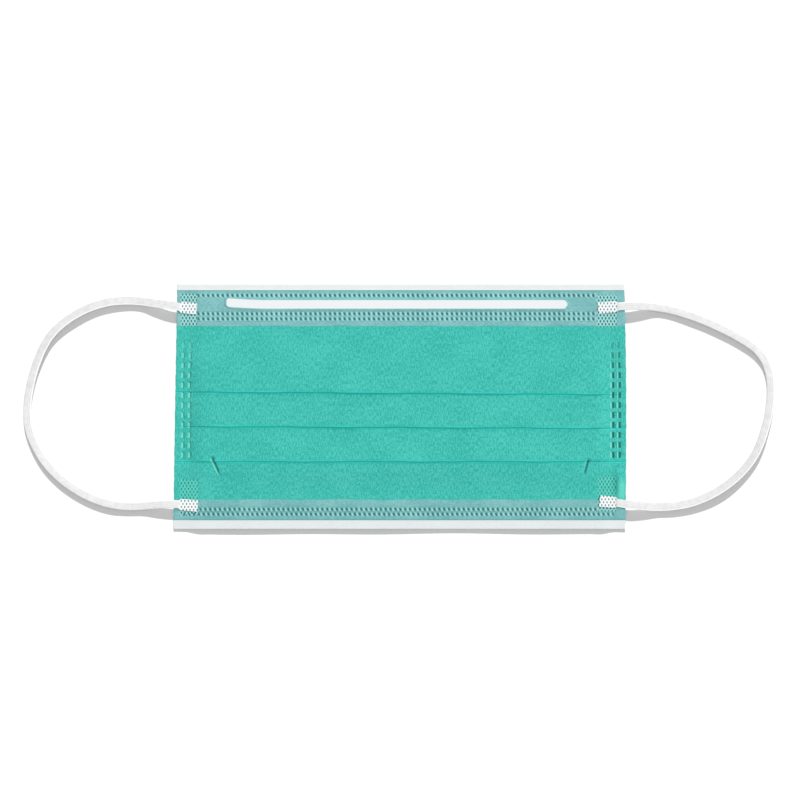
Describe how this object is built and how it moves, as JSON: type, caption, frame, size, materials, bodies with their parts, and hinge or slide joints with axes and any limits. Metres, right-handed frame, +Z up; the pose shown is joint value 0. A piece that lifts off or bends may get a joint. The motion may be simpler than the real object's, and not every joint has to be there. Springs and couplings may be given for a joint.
{
  "type": "surgical face mask",
  "caption": "Flat pleated surgical face mask lying face up, with a green front, pale turned-over hems, a nose wire and elastic ear loops.",
  "frame": {"origin": "on the surface that the mask lies on, under the middle of the pleated rectangle", "axes": "+X along the mask's width, +Y towards the nose edge, +Z up out of the coloured front"},
  "size_m": [0.2916, 0.095, 0.0045],
  "materials": {
    "green_nonwoven": "matt spunbond nonwoven with a fine bonded grain",
    "top_hem_nonwoven": "thin white spunbond lining over the green ply, with rows of weld dots",
    "bottom_hem_nonwoven": "thin white spunbond lining over the green ply, with rows of weld dots",
    "wire_plastic": "smooth white plastic round a wire",
    "elastic": "fine knitted elastic, flat and matt"
  },
  "bodies": {
    "root": {"pleated_panel": "green_nonwoven", "top_hem": "top_hem_nonwoven", "bottom_hem": "bottom_hem_nonwoven", "nose_wire": "wire_plastic", "ear_loop_left": "elastic", "ear_loop_right": "elastic"}
  },
  "joints": []
}
